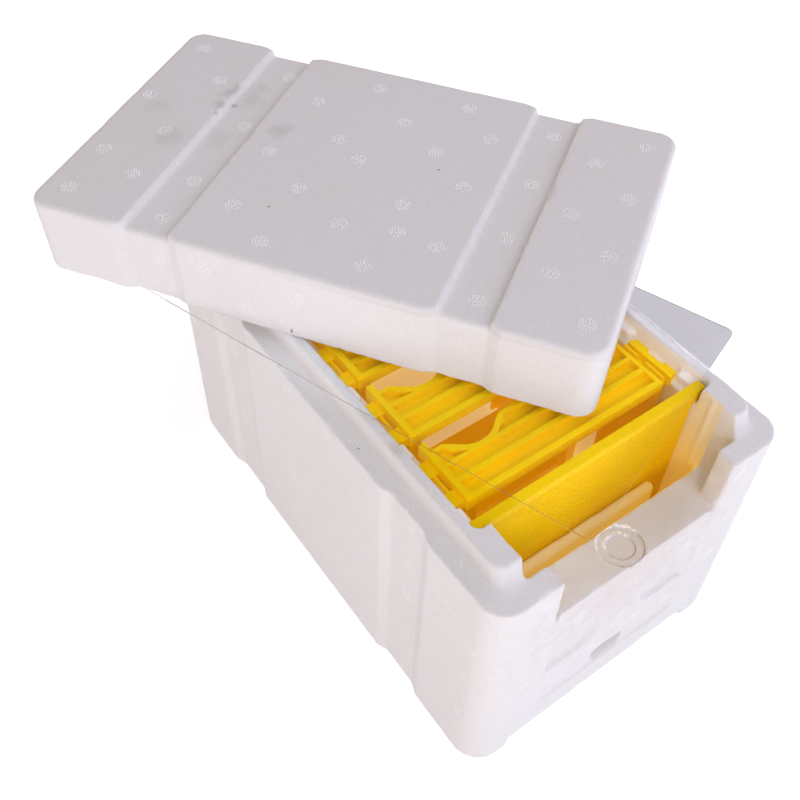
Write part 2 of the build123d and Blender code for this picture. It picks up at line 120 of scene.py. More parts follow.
def lid_point(x, y, z):
    """A place on the turned lid: x across it, y along it and z above the table."""
    turned = Matrix.Rotation(LID_YAW, 3, "Z") @ Vector((x * mm, y * mm, 0))
    return LID_MIDDLE + turned + Vector((0, 0, z * mm))


def flare_at(z):
    """How far an outer wall of the box stands out at this height, past its place at the ledge."""
    return BASE_FLARE * (1 - z / LEDGE_TOP)


def in_groove(y):
    """Whether this place along the box or the lid is on the floor of a strap groove."""
    return abs(abs(y) - GROOVE_MIDDLE) < GROOVE_FLOOR_HALF


# Short ways to write node materials. They all use the object's own coordinates
class Net:
    def __init__(self, name):
        self.material = bpy.data.materials.new(name)
        self.material.use_nodes = True
        self.tree = self.material.node_tree
        self.tree.nodes.clear()
        self.out = self.node("ShaderNodeOutputMaterial")
        self.coords = self.node("ShaderNodeTexCoord").outputs["Object"]
        self.x, self.y, self.z = self.split(self.coords)

    def node(self, kind, **values):
        made = self.tree.nodes.new(kind)
        for key, value in values.items():
            setattr(made, key, value)
        return made

    def put(self, value, socket):
        if hasattr(value, "is_output"):
            self.tree.links.new(value, socket)
        elif value is not None:
            socket.default_value = value

    def split(self, vector):
        n = self.node("ShaderNodeSeparateXYZ")
        self.put(vector, n.inputs[0])
        return n.outputs[0], n.outputs[1], n.outputs[2]

    def mapped(self, rotation, scale):
        n = self.node("ShaderNodeMapping")
        self.put(self.coords, n.inputs["Vector"])
        n.inputs["Rotation"].default_value = rotation
        n.inputs["Scale"].default_value = scale
        return n.outputs["Vector"]

    def noise(self, scale, detail, rough, vector=None):
        n = self.node("ShaderNodeTexNoise")
        self.put(vector or self.coords, n.inputs["Vector"])
        n.inputs["Scale"].default_value = scale
        n.inputs["Detail"].default_value = detail
        n.inputs["Roughness"].default_value = rough
        return n.outputs["Fac"]

    def cells(self, scale):
        n = self.node("ShaderNodeTexVoronoi", feature="F1")
        self.put(self.coords, n.inputs["Vector"])
        n.inputs["Scale"].default_value = scale
        return n.outputs["Distance"], n.outputs["Color"]

    def ramp(self, value, lo, hi, to_lo=0.0, to_hi=1.0, smooth=True):
        n = self.node(
            "ShaderNodeMapRange", interpolation_type="SMOOTHSTEP" if smooth else "LINEAR"
        )
        self.put(value, n.inputs["Value"])
        n.inputs["From Min"].default_value = lo
        n.inputs["From Max"].default_value = hi
        n.inputs["To Min"].default_value = to_lo
        n.inputs["To Max"].default_value = to_hi
        return n.outputs["Result"]

    def span(self, place, lo, hi, to_lo=0.0, to_hi=1.0, smooth=True):
        """A ramp over a place or a length, with both of its ends in millimetres."""
        return self.ramp(place, lo * mm, hi * mm, to_lo, to_hi, smooth)

    def math(self, operation, a, b=None):
        n = self.node("ShaderNodeMath", operation=operation)
        self.put(a, n.inputs[0])
        self.put(b, n.inputs[1])
        return n.outputs[0]

    def add(self, a, b):
        return self.math("ADD", a, b)

    def times(self, first, *others):
        for other in others:
            first = self.math("MULTIPLY", first, other)
        return first

    def unsigned(self, a):
        return self.math("ABSOLUTE", a)

    def off(self, a, b):
        return self.unsigned(self.math("SUBTRACT", a, b))

    def vector(self, operation, a, b=None):
        n = self.node("ShaderNodeVectorMath", operation=operation)
        self.put(a, n.inputs[0])
        self.put(b, n.inputs[1])
        one_number = operation in ("DISTANCE", "LENGTH", "DOT_PRODUCT")
        return n.outputs["Value"] if one_number else n.outputs[0]

    def mix(self, factor, a, b):
        n = self.node("ShaderNodeMix", data_type="RGBA")
        self.put(factor, n.inputs[0])
        self.put(a, n.inputs[6])
        self.put(b, n.inputs[7])
        return n.outputs[2]

    def bump(self, height, distance, strength, normal=None):
        n = self.node("ShaderNodeBump")
        n.inputs["Distance"].default_value = distance
        n.inputs["Strength"].default_value = strength
        self.put(height, n.inputs["Height"])
        self.put(normal, n.inputs["Normal"])
        return n.outputs["Normal"]

    def finish(self, **values):
        n = self.node("ShaderNodeBsdfPrincipled")
        for key, value in values.items():
            self.put(value, n.inputs[key.replace("_", " ")])
        self.put(n.outputs["BSDF"], self.out.inputs["Surface"])
        return self.material


# Stains and patches of painted shade are (place, radius, smear, grain, shade). Grainy ones keep
# to their own level
def add_stains_and_shade(n, colour, stains_and_shade, wander):
    fine = n.noise(2400, 1, 0.5)
    for place, radius, smear, grain, shade in stains_and_shade:
        fray = 0.35 * radius * mm
        reach = n.vector("DISTANCE", n.coords, place)
        reach = n.add(reach, n.ramp(wander, 0.3, 0.7, -fray, fray))
        near = n.span(reach, 0.1 * radius, 1.15 * radius, 1, 0)
        if grain > 0:
            near = n.times(near, n.span(n.off(n.z, place.z), 0.5, 1.2, 1, 0.15))
        dots = n.ramp(n.add(fine, n.times(near, 0.10)), 0.60, 0.70)
        amount = n.add(n.times(dots, grain), smear)
        colour = n.mix(n.times(near, amount), colour, shade)
    return colour


# Specks are (place, radius, shade). A few small ones more lie anywhere
def add_specks(n, colour, specks):
    for place, radius, shade in specks:
        reach = n.vector("DISTANCE", n.coords, place)
        speck = n.span(reach, 0.6 * radius, 1.1 * radius, 0.85, 0)
        colour = n.mix(speck, colour, shade)
    reach, number = n.cells(75)
    pick = n.node("ShaderNodeSeparateColor")
    n.put(number, pick.inputs[0])
    chosen = n.math("GREATER_THAN", pick.outputs[1], 0.96)
    speck = n.times(n.ramp(reach, 0.012, 0.030, 1, 0), chosen, 0.6)
    return n.mix(speck, colour, (0.28, 0.20, 0.15, 1))


# Cream lines across the lid, at these places along it, on the slopes of its grooves
def add_seams(n, colour, seams, wander):
    place = n.vector("DOT_PRODUCT", n.coords, LID_ALONG)
    place = n.add(place, n.ramp(wander, 0.3, 0.7, -0.25 * mm, 0.25 * mm))
    above_floor = n.span(n.z, LID_GROOVE_FLOOR + 0.5, LID_GROOVE_FLOOR + 1.5)
    for y in seams:
        at = LID_MIDDLE.dot(LID_ALONG) + y * mm
        line = n.times(n.span(n.off(place, at), 0.3, 0.8, 1, 0), above_floor)
        colour = n.mix(line, colour, (0.86, 0.79, 0.70, 1))
    return colour


# Colours of the gun mark: painted shade as brown lines on its steps towards the front, and white
# torn foam, lit up further by a painted highlight, at the back
def add_gun_mark_shade_and_highlight(n, colour):
    x, y, z = n.split(n.vector("SUBTRACT", n.coords, GUN_MARK))
    away = n.math("SQRT", n.add(n.times(x, x), n.times(y, y)))
    away = n.add(away, n.ramp(n.noise(420, 2, 0.6), 0.3, 0.7, -0.3 * mm, 0.3 * mm))
    level = n.span(n.unsigned(z), 2, 3, 1, 0)
    tears = n.ramp(n.noise(700, 2, 0.6), 0.40, 0.50)
    for radius in GUN_MARK_RADII:
        # Painted shade: a brown line along each step, strongest on its front side
        line = n.span(n.off(away, radius * mm), 0.12, 0.40, 1, 0)
        line = n.times(line, level, n.span(y, -2, 2, 0.55, 0.0))
        colour = n.mix(line, colour, (0.42, 0.30, 0.19, 1))
        # White torn foam behind each step, with a painted highlight where it faces the light
        torn_and_highlight = n.span(n.off(away, (radius + 0.4) * mm), 0.3, 0.7, 1, 0)
        torn_and_highlight = n.times(torn_and_highlight, n.span(y, 0, 3), tears, level)
        colour = n.mix(torn_and_highlight, colour, (0.97, 0.96, 0.96, 1))
    return colour


# Light that the table throws up under the lid's long front side. It is strongest low
# down, fades behind the lid's middle and is a little weaker at its near end
def lid_fill(n, colour):
    geometry = n.node("ShaderNodeNewGeometry")
    facing = n.vector("DOT_PRODUCT", geometry.outputs["True Normal"], -LID_ACROSS)
    place = n.vector("DOT_PRODUCT", n.coords, LID_ALONG)
    middle = LID_MIDDLE.dot(LID_ALONG) / mm
    edge_starts = LID_TOP - 5.1
    edge_ends = LID_TOP - 3.3
    amount = n.times(
        n.ramp(facing, 0.2, 0.7),
        n.span(place, middle - 45, middle + 45, 1, 0),
        n.span(place, middle - 124, middle - 70, 0.75, 1),
        n.span(n.z, LID_FOOT + 0.7, edge_starts, 1.0, 0.40, smooth=False),
        n.span(n.z, edge_starts, edge_ends, 1, 0),
        0.20,
    )
    return colour, {"Emission_Color": (0.76, 0.87, 1.0, 1), "Emission_Strength": amount}


# Warm light in the box, which comes through its walls and off the yellow plastic. It
# has one colour and power behind the divider, others in the feeding space in front of
# it, where that light is also painted into the foam's colour as a yellow tint, and others
# again on the shelf under the rim
def chamber_light(n, colour):
    past_wall = 0.8
    high = 140
    inside = n.times(
        n.math("LESS_THAN", n.unsigned(n.x), (INNER_HALF_WIDTH + past_wall) * mm),
        n.math("LESS_THAN", n.unsigned(n.y), (INNER_HALF_LENGTH + past_wall) * mm),
        n.span(n.z, FLOOR_TOP - 3, FLOOR_TOP - 2),
    )
    behind = n.span(n.y, IN_DIVIDER - 1, IN_DIVIDER + 1)
    before = n.math("SUBTRACT", 1.0, behind)
    depth = n.span(n.z, FLOOR_TOP - 1, high, 1, 0, smooth=False)
    low_before = n.span(n.z, BAFFLE_TOP - 1, high, 1, 0)
    shelf = n.times(
        n.math("LESS_THAN", n.unsigned(n.x), 62.5 * mm),
        n.span(n.z, RIM_TOP - 1.8, RIM_TOP - 0.6, 1, 0),
        n.span(n.z, 120, 124),
        behind,
        0.15,
    )
    glow_behind = n.mix(depth, (0.78, 0.47, 0.09, 1), (0.61, 0.46, 0.22, 1))
    glow_before = n.mix(low_before, (0.85, 0.55, 0.30, 1), (0.80, 0.50, 0.08, 1))
    glow_inside = n.mix(behind, glow_before, glow_behind)
    power = n.add(
        n.times(behind, n.ramp(depth, 0.05, 0.9, 0.06, 0.53)),
        n.times(before, n.ramp(low_before, 0, 1, 0.04, 0.22)),
    )
    # Painted bounce light: how far the foam in the feeding space is drawn to yellow, more towards
    # the right
    tint = n.times(
        inside,
        before,
        n.ramp(low_before, 0, 1, 0.45, 0.85),
        n.span(n.x, 10, 50, 0.5, 1.0),
    )
    emission = {
        "Emission_Color": n.mix(inside, (1.0, 0.70, 0.40, 1), glow_inside),
        "Emission_Strength": n.math("MAXIMUM", n.times(inside, power), shelf),
    }
    # The foam's colour with the yellow of the painted bounce light mixed in
    return n.mix(tint, colour, (0.84, 0.64, 0.16, 1)), emission


# Expanded foam: a dull skin of pressed beads, mottled, with faint stains and specks. Some stains
# are painted shade, and the gun mark has painted shade and highlight. `light` is a function
# that adds a faint glow of its own, and may paint light into the foam's colour too
def foam(
    name, tint=(0.76, 0.75, 0.757, 1), stains_and_shade=(), specks=(), seams=(), gun_mark=False, light=None
):
    n = Net(name)
    warm = (tint[0] * 0.975, tint[1] * 0.945, tint[2] * 0.915, 1)
    beads = n.cells(560)[0]
    clouds = n.noise(14, 3, 0.5)
    mottle = n.noise(150, 4, 0.62)
    wander = n.noise(120, 3, 0.6)
    colour = n.mix(n.ramp(clouds, 0.35, 0.7, 0.0, 0.32), tint, warm)
    colour = n.mix(n.ramp(mottle, 0.42, 0.72, 0.0, 0.20), colour, warm)
    colour = n.mix(n.ramp(beads, 0.25, 0.75, 0.0, 0.10), colour, (0.56, 0.54, 0.53, 1))
    colour = add_stains_and_shade(n, colour, stains_and_shade, wander)
    colour = add_specks(n, colour, specks)
    colour = add_seams(n, colour, seams, wander)
    if gun_mark:
        colour = add_gun_mark_shade_and_highlight(n, colour)
    emission = {}
    if light is not None:
        colour, emission = light(n, colour)
    normal = n.bump(n.noise(42, 2, 0.5), 0.8 * mm, 0.22)
    normal = n.bump(n.ramp(beads, 0.0, 0.9, 1, 0), 0.12 * mm, 0.35, normal)
    normal = n.bump(n.noise(1300, 2, 0.6), 0.10 * mm, 0.4, normal)
    return n.finish(
        Base_Color=colour,
        Roughness=n.ramp(mottle, 0.3, 0.7, 0.58, 0.76),
        Specular_IOR_Level=0.35,
        Normal=normal,
        **emission,
    )


# Moulded plastic: even gloss with faint flow marks and fine scratches. It glows faintly all
# over, and a little more deep among the combs, for the light that such thin walls let through
def plastic(name, base, deep):
    n = Net(name)
    lit = n.times(
        n.span(n.y, IN_DIVIDER + 0.5, IN_DIVIDER + 1.5),
        n.span(n.z, FLOOR_TOP + 4, FLOOR_TOP + 6),
        n.span(n.z, 130, 148, 1, 0.45),
        n.span(n.z, 20, 130, 0.20, 0.09, smooth=False),
    )
    flow = n.noise(16, 3, 0.5, vector=n.mapped((0, 0, 0), (1, 3.5, 1)))
    streaks = n.noise(60, 2, 0.5, vector=n.mapped((0.3, 0.2, 0.5), (25, 1, 1)))
    scratches = n.ramp(streaks, 0.60, 0.72)
    colour = n.mix(n.ramp(flow, 0.3, 0.75), base, deep)
    colour = n.mix(n.times(scratches, 0.10), colour, (0.95, 0.72, 0.12, 1))
    dullness = n.ramp(n.noise(120, 3, 0.6), 0.3, 0.7, 0.32, 0.44)
    normal = n.bump(n.noise(480, 2, 0.5), 0.08 * mm, 0.35)
    normal = n.bump(n.noise(45, 2, 0.5), 0.5 * mm, 0.18, normal)
    return n.finish(
        Base_Color=colour,
        Roughness=n.add(dullness, n.times(scratches, 0.08)),
        Specular_IOR_Level=0.26,
        Specular_Tint=(1.0, 0.78, 0.12, 1),
        Emission_Color=(0.80, 0.41, 0.0, 1),
        Emission_Strength=n.add(lit, 0.02),
        Normal=normal,
    )


# Thin clear sheet: nearly perfect faces with faint wiping marks. The upper half of its
# cut edges is painted dark as shade, and the sheet is painted a little greyer as shade where it
# stands out past the rim
def clear_sheet(name):
    n = Net(name)
    geometry = n.node("ShaderNodeNewGeometry")
    upward = n.split(geometry.outputs["True Normal"])[2]
    face = n.ramp(n.unsigned(upward), 0.3, 0.7)
    lower_half = n.span(n.z, RIM_TOP + 0.3, RIM_TOP + 0.4, 1, 0)
    clear = n.math("MAXIMUM", face, lower_half)
    wiped = n.noise(14, 4, 0.6, vector=n.mapped((0, 0, 0.9), (1, 6, 1)))
    marks = n.ramp(wiped, 0.45, 0.75)
    # Painted shade: the sheet greyer where it stands out past the rim
    shade_past_rim = n.span(n.x, 64.2, 66.0)
    colour = n.mix(shade_past_rim, (0.98, 0.975, 0.97, 1), (0.50, 0.49, 0.52, 1))
    # Painted shade: the cut edges dark wherever they are not clear
    colour = n.mix(clear, (0.34, 0.31, 0.19, 1), colour)
    colour = n.mix(n.times(marks, 0.05), colour, (0.93, 0.93, 0.95, 1))
    return n.finish(
        Base_Color=colour,
        Roughness=n.ramp(marks, 0, 1, 0.02, 0.06),
        IOR=1.12,
        Transmission_Weight=n.ramp(clear, 0, 1, 0.5, 1.0),
        Normal=n.bump(n.noise(9, 2, 0.4), 2 * mm, 0.12),
    )


# Stains, specks and seams that the photograph shows, and painted shade on the notch floor
GRIME = (0.24, 0.20, 0.19, 1)
# Colour of the painted shade on the notch floor
PAINTED_NOTCH_SHADE = (0.60, 0.49, 0.42, 1)
BROWN = (0.50, 0.37, 0.26, 1)
PALE_BROWN = (0.52, 0.42, 0.34, 1)
DARK = (0.10, 0.06, 0.04, 1)
RED_BROWN = (0.22, 0.09, 0.04, 1)
RUST = (0.25, 0.10, 0.04, 1)
lid_stains = [
    (lid_point(30.5, 80.6, LID_TOP), 8.0, 0.20, 0.28, GRIME),
    (lid_point(19.0, 80.0, LID_TOP), 5.5, 0.16, 0.38, GRIME),
    (lid_point(12.5, 79.8, LID_TOP), 2.2, 0.22, 0.55, GRIME),
    (lid_point(24.0, 76.8, LID_GROOVE_FLOOR), 2.0, 0.25, 0.50, GRIME),
    (lid_point(30.9, 72.7, LID_GROOVE_FLOOR), 8.0, 0.08, 0.20, GRIME),
    (lid_point(9.5, 46.0, LID_TOP), 7.5, 0.16, 0.12, GRIME),
    (lid_point(-13.4, 91.0, LID_TOP), 10.0, 0.13, 0.06, GRIME),
    (lid_point(8.3, 108.3, LID_TOP), 8.0, 0.12, 0.08, GRIME),
    (lid_point(-2.8, 72.0, LID_GROOVE_FLOOR), 9.0, 0.06, 0.10, GRIME),
    (lid_point(40.9, 70.7, LID_GROOVE_FLOOR), 6.0, 0.06, 0.22, GRIME),
]
lid_specks = [
    (lid_point(-40.8, 27.3, LID_TOP), 0.55, RED_BROWN),
    (lid_point(9.4, -30.4, LID_TOP), 0.5, DARK),
    (lid_point(-74.7, 3.8, 147.4), 0.7, RUST),
    (lid_point(-74.7, 3.8, 148.4), 0.6, RUST),
]
box_stains_and_shade = [
    # Painted shade: a smooth darker, warmer patch over the whole notch floor
    (box_point(0.0, -115, NOTCH_FLOOR), 60, 0.32, 0.0, PAINTED_NOTCH_SHADE),
    (box_point(-64, -48, RIM_TOP), 5, 0.25, 0.3, PALE_BROWN),
    (box_point(1.6, -123.4, NOTCH_FLOOR), 2.2, 0.3, 0.6, BROWN),
    (box_point(5.6, -123.6, NOTCH_FLOOR), 1.6, 0.3, 0.6, BROWN),
]
box_specks = [
    (box_point(-71.2, -33.0, LEDGE_TOP), 0.45, DARK),
    (box_point(-75.2, -56.0, 128), 0.4, DARK),
]
seam_from_middle = GROOVE_FLOOR_HALF + 1.0
lid_seams = (GROOVE_MIDDLE - seam_from_middle, -GROOVE_MIDDLE - seam_from_middle)

foam_lid_material = foam(
    "foam_lid_skin", stains_and_shade=lid_stains, specks=lid_specks, seams=lid_seams, light=lid_fill
)
foam_box_material = foam(
    "foam_box_skin", stains_and_shade=box_stains_and_shade, specks=box_specks, gun_mark=True, light=chamber_light
)
# The nubs' foam is painted whiter than the skin around them: a painted highlight
nub_highlight_material = foam("foam_nub_highlight", tint=(0.99, 0.99, 1.0, 1))
yellow = plastic("yellow_moulding", (0.90, 0.60, 0.002, 1), (0.86, 0.54, 0.002, 1))
sheet_material = clear_sheet("clear_cover")


def dress(piece, material):
    piece.data.materials.clear()
    piece.data.materials.append(material)


def from_modifiers(source, name):
    shown = source.evaluated_get(bpy.context.evaluated_depsgraph_get())
    mesh = bpy.data.meshes.new_from_object(shown)
    mesh.name = name
    return mesh


def places(mesh, what="co"):
    flat = np.empty(len(mesh.vertices) * 3)
    mesh.vertices.foreach_get(what, flat)
    return flat.reshape(-1, 3)


# The two finger recesses in front have gentler slopes than their solid
def ease_recesses(at):
    nearest, farthest = 11, 43
    lowest, highest = 51, 79
    deepest = 6.5
    depth_kept = 0.45
    x, y, z = at.T / mm
    panel = -(HALF_LENGTH - PANEL_DEPTH + flare_at(z))
    deep = y - panel
    here = (np.abs(x) > nearest) & (np.abs(x) < farthest) & (z > lowest) & (z < highest)
    here &= (deep > 0) & (deep < deepest)
    eased = at.copy()
    eased[here, 1] = (panel + deep * depth_kept)[here] * mm
    return eased


# The mould's gun mark: two round steps down with torn edges
def press_gun_mark(mesh):
    cx, cy, top = GUN_MARK
    level = 1.5 * mm
    upward = 0.7
    outer, inner = GUN_MARK_RADII
    shape = bmesh.new()
    shape.from_mesh(mesh)
    for smallest, cuts in ((0.5, 2), (0.12, 2), (0.05, 1)):
        near = []
        for f in shape.faces:
            middle = f.calc_center_median()
            away = math.hypot(middle.x - cx, middle.y - cy) / mm
            on_ring = min(abs(away - outer), abs(away - inner)) < 1.3
            if (
                f.normal.z > upward
                and abs(middle.z - top) < level
                and f.calc_area() > smallest * mm * mm
                and (on_ring or (smallest > 0.4 and away < 13))
            ):
                near.append(f)
        edges = list({e for f in near for e in f.edges})
        bmesh.ops.subdivide_edges(shape, edges=edges, cuts=cuts, use_grid_fill=True)
        bmesh.ops.triangulate(shape, faces=[f for f in shape.faces if len(f.verts) > 3])
    shape.normal_update()
    for v in shape.verts:
        away = math.hypot(v.co.x - cx, v.co.y - cy)
        if abs(v.co.z - top) > level or v.normal.z < upward or away > 11.5 * mm:
            continue
        frayed = away + noise.noise(v.co * 420) * 0.5 * mm
        step = 0.0
        for radius, depth in ((outer * mm, 0.70 * mm), (inner * mm, 0.55 * mm)):
            step += depth * min(1.0, max(0.0, (radius - frayed) / (0.22 * mm) + 0.5))
            flake = max(0.0, noise.noise(v.co * 260 + Vector((radius * 9000, 3, 1))) - 0.05)
            flake *= 1.1 if v.co.y > cy else 0.3
            step -= flake * mm * math.exp(-(((frayed - radius - 0.2 * mm) / (0.40 * mm)) ** 2))
        v.co.z -= step
    shape.to_mesh(mesh)
    shape.free()


# The solid in even small faces, once nearly as it is and once with round corners.
# `squared` lays it square to the voxels
def even_meshes(node, name, voxel, squared):
    raw = bmesh.new()
    raw.from_mesh(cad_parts[node].data)
    bmesh.ops.remove_doubles(raw, verts=raw.verts, dist=1e-6)
    raw.transform(squared)
    mesh = bpy.data.meshes.new(name + "_raw")
    raw.to_mesh(mesh)
    raw.free()
    block = bpy.data.objects.new(name + "_raw", mesh)
    scene.collection.objects.link(block)
    remesh = block.modifiers.new("remesh", "REMESH")
    remesh.mode = "VOXEL"
    remesh.voxel_size = voxel * mm
    even = from_modifiers(block, name + "_even")
    block.modifiers.clear()
    block.data = even
    soft = block.modifiers.new("soft", "SMOOTH")
    soft.factor = 0.5
    soft.iterations = 1
    fine = from_modifiers(block, name)
    soft.iterations = 12
    rounder = from_modifiers(block, name + "_round")
    bpy.data.objects.remove(block)
    return fine, rounder


# Foam's corners, found by how far the round form is off: outer ones are just broken
# and nibbled, inner ones filled softly
def worn_places(fine, rounder, seed):
    here = places(fine)
    normals = places(fine, "normal")
    round_at = places(rounder)
    bulge = ((here - round_at) * normals).sum(1)
    outer = np.clip(bulge / (0.22 * mm), 0, 1)
    inner = np.clip(-bulge / (0.15 * mm), 0, 1)
    here = here + (round_at - here) * (inner * 0.9)[:, None]
    offset = Vector((seed * 7.3, seed * 3.1, seed * 1.7))
    deepest = 0.9
    bite = np.zeros(len(here))
    for k in np.flatnonzero(outer > 0.15):
        p = Vector(here[k])
        rough = noise.noise(p * 300 + offset)
        gaps = noise.noise(p * 70 - offset)
        bite[k] = max(0.0, rough + 0.15) * 0.35 + max(0.0, gaps - 0.25) * 1.6
    return here - normals * (outer * np.minimum(bite, deepest) * mm)[:, None]


def foam_form(node, name, voxel, seed, squared, ease=None, press=None):
    fine, rounder = even_meshes(node, name, voxel, squared)
    worn = worn_places(fine, rounder, seed)
    if ease is not None:
        worn = ease(worn)
    fine.vertices.foreach_set("co", worn.ravel())
    fine.update()
    bpy.data.meshes.remove(rounder)
    piece = bpy.data.objects.new(name, fine)
    scene.collection.objects.link(piece)
    thin = piece.modifiers.new("thin", "DECIMATE")
    thin.ratio = 0.22
    thinned = from_modifiers(piece, name)
    piece.modifiers.clear()
    piece.data = thinned
    if press is not None:
        press(thinned)
    thinned.transform(squared.inverted())
    for polygon in thinned.polygons:
        polygon.use_smooth = True
    return piece


as_it_is = Matrix.Identity(4)
foam_box = foam_form(
    "hive_body", "foam_box", 0.8, 3, as_it_is, ease=ease_recesses, press=press_gun_mark
)
dress(foam_box, foam_box_material)
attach(foam_box, "box")
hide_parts("hive_body")

turned_back = Matrix.Rotation(-LID_YAW, 4, "Z") @ Matrix.Translation(-LID_MIDDLE)
foam_lid = foam_form("lid", "foam_lid", 0.7, 8, turned_back)
dress(foam_lid, foam_lid_material)
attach(foam_lid, "lid")
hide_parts("lid")


# Marks of the mould's steam vents: small nubs in rings, pressed a little proud of the
# skin. A kind of mark is (radius, rings, nub radius, how far the nubs stand out), and a
# ring is (share of the radius, number of nubs)
FULL = ((0.27, 4), (0.63, 9), (1.0, 15))
SMALL = ((0.35, 1), (1.0, 4))
LID_TOP_MARK = (3.15, FULL, 0.34, 0.34)
LID_SIDE_MARK = (3.15, FULL, 0.28, 0.10)
WALL_MARK = (3.15, FULL, 0.27, 0.09)
LEDGE_MARK = (1.5, SMALL, 0.28, 0.2)
RIM_MARK = (1.4, SMALL, 0.28, 0.0)


def nub_rings(radius, rings, seed):
    rng = random.Random(seed)
    spots = []
    for share, count in rings:
        start = rng.uniform(0, 2 * math.pi)
        for i in range(count):
            a = start + 2 * math.pi * i / count
            r = radius * share + rng.uniform(-0.12, 0.12)
            spots.append((r * math.cos(a), r * math.sin(a)))
    return [s for s in spots if rng.random() > 0.07]


# One nub: a dome with seven sides, its lowest ring sunk in the foam
def add_nub(shape, at, u, v, out, radius, rise):
    sides = 7
    rows = []
    for share, height in ((1.0, -0.25 * mm), (0.92, rise * 0.45), (0.62, rise * 0.9)):
        ring = []
        for i in range(sides):
            a = 2 * math.pi * i / sides
            away = (u * math.cos(a) + v * math.sin(a)) * radius * share
            ring.append(shape.verts.new(at + away + out * height))
        rows.append(ring)
    top = shape.verts.new(at + out * rise)
    for low, high in zip(rows, rows[1:]):
        for i in range(sides):
            after = (i + 1) % sides
            shape.faces.new((low[i], low[after], high[after], high[i]))
    for i in range(sides):
        shape.faces.new((rows[-1][i], rows[-1][(i + 1) % sides], top))


# Marks are (middle, outward, sideways, kind)
def vent_marks(name, marks, body, material):
    shape = bmesh.new()
    rng = random.Random(name)
    for middle, out, u, (radius, rings, nub_radius, proud) in marks:
        v = out.cross(u)
        for x, y in nub_rings(radius, rings, rng.random()):
            at = middle + (u * x + v * y) * mm
            radius_here = nub_radius * rng.uniform(0.8, 1.15) * mm
            rise = proud * rng.uniform(0.7, 1.2) * mm
            add_nub(shape, at, u, v, out, radius_here, rise)
    mesh = bpy.data.meshes.new(name)
    shape.to_mesh(mesh)
    shape.free()
    for polygon in mesh.polygons:
        polygon.use_smooth = True
    piece = bpy.data.objects.new(name, mesh)
    scene.collection.objects.link(piece)
    dress(piece, material)
    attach(piece, body)


lid_top_spots = [
    (60, 112), (14, 116), (-31, 113), (-60, 112), (37, 91), (-9, 95), (-42, 92),
    (56, 63), (11, 65), (-34, 67), (-61, 67), (38, 40), (-6, 44), (-45, 42),
    (59, 17), (14, 19), (-25, 21), (-62, 21), (37, -4), (3, 5), (-40, -4),
    (59, -28), (21, -25), (-19, -24), (-36, -28), (-60, -23), (39, -45), (2, -44), (-39, -46),
    (56, -70), (18, -70), (-20, -70), (-60, -70), (39, -93), (1.5, -91), (-37, -93),
    (59, -112), (19.5, -112), (-19, -112), (-59.5, -113),
]
lid_side_spots = [
    (64.6, 21.6), (40.9, 25.1), (23.6, 9.1), (0.2, 21.7),
    (-22.4, 8.4), (-44.9, 21.4), (-70.8, 21.6), (-99.8, 17.7),
]
lid_marks = []
for x, y in lid_top_spots:
    z = LID_GROOVE_FLOOR if in_groove(y) else LID_TOP
    lid_marks.append((lid_point(x, y, z), UP, LID_ACROSS, LID_TOP_MARK))
for y, z in lid_side_spots:
    x = LID_HALF_WIDTH - (GROOVE_SIDE_DEPTH if in_groove(y) else 0)
    for sign in (-1, 1):
        at = lid_point(sign * x, y, LID_FOOT + z)
        lid_marks.append((at, sign * LID_ACROSS, LID_ALONG, LID_SIDE_MARK))
vent_marks("lid_vent_marks", lid_marks, "lid", nub_highlight_material)

ledge_spots = [-119.8, -96.3, -86.7, -67, -48.4, -29.2, -14.4, 10.8, 36, 62, 88, 112]
rim_spots = [-92.0, -81.6, -58.8, -36, -10, 16, 42, 68, 92]
side_spots = [
    (-112, 98), (-113, 73), (-113, 40), (-71, 125), (-71, 100),
    (-71, 73), (-71, 40), (-15, 125), (16, 125), (-15, 60),
    (16, 60), (71, 100), (71, 50), (112, 90), (112, 45),
]
front_spots = [
    (-51, 124), (-28.5, 90), (0.5, 88), (33.8, 84), (2.8, 60.5), (14.6, 44.6),
    (36.6, 37.8), (-14.3, 45), (-32, 37), (51, 124), (-55, 60), (55, 60),
]
back_spots = [(x, z) for x in (-50, -18, 18, 50) for z in (30, 65, 105)]
box_marks = []
for y in ledge_spots:
    x = 48 if abs(y) >= 115 else 70.9
    for sign in (-1, 1):
        box_marks.append((box_point(sign * x, y, LEDGE_TOP), UP, RIGHT, LEDGE_MARK))
for y in rim_spots:
    for sign in (-1, 1):
        box_marks.append((box_point(sign * 63.6, y, RIM_TOP), UP, RIGHT, RIM_MARK))
for y, z in side_spots:
    x = HALF_WIDTH - (GROOVE_SIDE_DEPTH if in_groove(y) else 0) + flare_at(z)
    for sign in (-1, 1):
        box_marks.append((box_point(sign * x, y, z), sign * RIGHT, FRONT, WALL_MARK))
for x, z in front_spots:
    y = HALF_LENGTH - (PANEL_DEPTH if abs(x) < PANEL_HALF_WIDTH else 0) + flare_at(z)
    box_marks.append((box_point(x, -y, z), FRONT, RIGHT, WALL_MARK))
for x, z in back_spots:
    y = HALF_LENGTH + flare_at(z)
    box_marks.append((box_point(x, y, z), -FRONT, RIGHT, WALL_MARK))
vent_marks("box_vent_marks", box_marks, "box", nub_highlight_material)


# Yellow mouldings keep their solids, with their corners just broken
for node in ("frame_1", "frame_2", "frame_3", "frame_4", "frame_5", "divider", "vent_grille"):
    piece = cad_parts[node]
    dress(piece, yellow)
    weld = piece.modifiers.new("weld", "WELD")
    weld.merge_threshold = 1e-6
    bevel = piece.modifiers.new("bevel", "BEVEL")
    bevel.width = (0.12 if node == "divider" else 0.3) * mm
    bevel.segments = 2
    bevel.limit_method = "ANGLE"
    bevel.angle_limit = math.radians(30)
    bevel.use_clamp_overlap = True

# The clear sheet keeps its solid and throws no shadow
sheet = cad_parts["cover_sheet"]
dress(sheet, sheet_material)
sheet.visible_shadow = False


